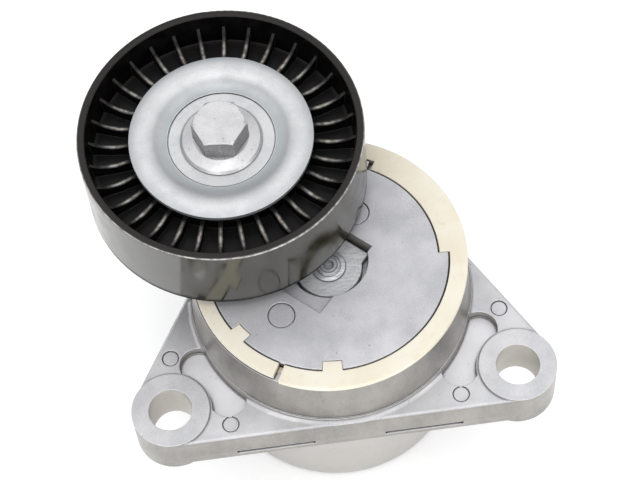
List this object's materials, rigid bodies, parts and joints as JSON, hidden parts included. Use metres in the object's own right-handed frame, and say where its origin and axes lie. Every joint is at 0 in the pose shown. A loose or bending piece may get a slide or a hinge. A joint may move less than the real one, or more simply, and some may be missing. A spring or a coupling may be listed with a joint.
{
  "type": "belt tensioner with idler pulley",
  "caption": "Spring-loaded belt tensioner: two-eared cast housing with a rear barrel, swinging arm in a split damper ring, and a smooth ribbed idler pulley on a ball bearing.",
  "frame": {"origin": "where the pivot axis crosses the plane of the two ears' mounting faces", "axes": "+Z along the pivot axis away from the engine, X along the line of the two ear holes, the ears towards -Y and the pulley towards -X and +Y at rest"},
  "size_m": [0.1198, 0.1054, 0.1005],
  "materials": {
    "cast_aluminium": "die-cast, satin",
    "arm_aluminium": "die-cast, satin",
    "damper_nylon": "ivory moulded nylon",
    "pulley_nylon": "black glass-filled nylon, polished running face",
    "zinc_sheet": "pressed steel, bright zinc plate",
    "zinc_bolt": "forged steel, zinc plate",
    "shaft_steel": "turned steel",
    "bushing_plastic": "filled polymer bearing material",
    "spring_steel": "coated spring steel",
    "bearing_steel": "ground bearing steel",
    "cage_steel": "pressed steel strip",
    "seal_rubber": "nitrile rubber"
  },
  "bodies": {
    "base": {"base_housing": "cast_aluminium", "pivot_bushing": "bushing_plastic", "foot_thrust_washer": "shaft_steel", "torsion_spring": "spring_steel"},
    "arm": {"tension_arm": "arm_aluminium", "damper_ring": "damper_nylon", "pivot_shaft": "shaft_steel", "retainer_washer": "zinc_sheet", "rear_dust_shield": "zinc_sheet", "bearing_inner_ring": "bearing_steel", "spacer_sleeve": "shaft_steel", "front_dust_shield": "zinc_sheet", "pulley_bolt": "zinc_bolt"},
    "pulley": {"pulley_body": "pulley_nylon", "bearing_outer_ring": "bearing_steel", "bearing_seal_front": "seal_rubber", "bearing_seal_rear": "seal_rubber"},
    "ball_set": {"bearing_cage_upper": "cage_steel", "bearing_cage_lower": "cage_steel", "bearing_cage_rivets": "cage_steel", "bearing_ball_1": "bearing_steel", "bearing_ball_2": "bearing_steel", "bearing_ball_3": "bearing_steel", "bearing_ball_4": "bearing_steel", "bearing_ball_5": "bearing_steel", "bearing_ball_6": "bearing_steel", "bearing_ball_7": "bearing_steel", "bearing_ball_8": "bearing_steel"}
  },
  "joints": [
    {"name": "arm_pivot", "type": "hinge", "parent": "base", "child": "arm", "pos_m": [0, 0, 0], "axis": [0, 0, -1], "range_deg": [0, 60], "stiffness_Nm_per_rad": 17, "springref_deg": -28.65, "deforming": ["torsion_spring"]},
    {"name": "pulley_spin", "type": "hinge", "parent": "arm", "child": "pulley", "pos_m": [-0.024, 0.0276, 0.0494], "axis": [0, 0, 1], "continuous": true},
    {"name": "ball_orbit", "type": "hinge", "parent": "arm", "child": "ball_set", "pos_m": [-0.024, 0.0276, 0.0494], "axis": [0, 0, 1], "continuous": true}
  ],
  "couplings": [
    {"joint": "ball_orbit", "follows": "pulley_spin", "ratio": 0.6175}
  ]
}
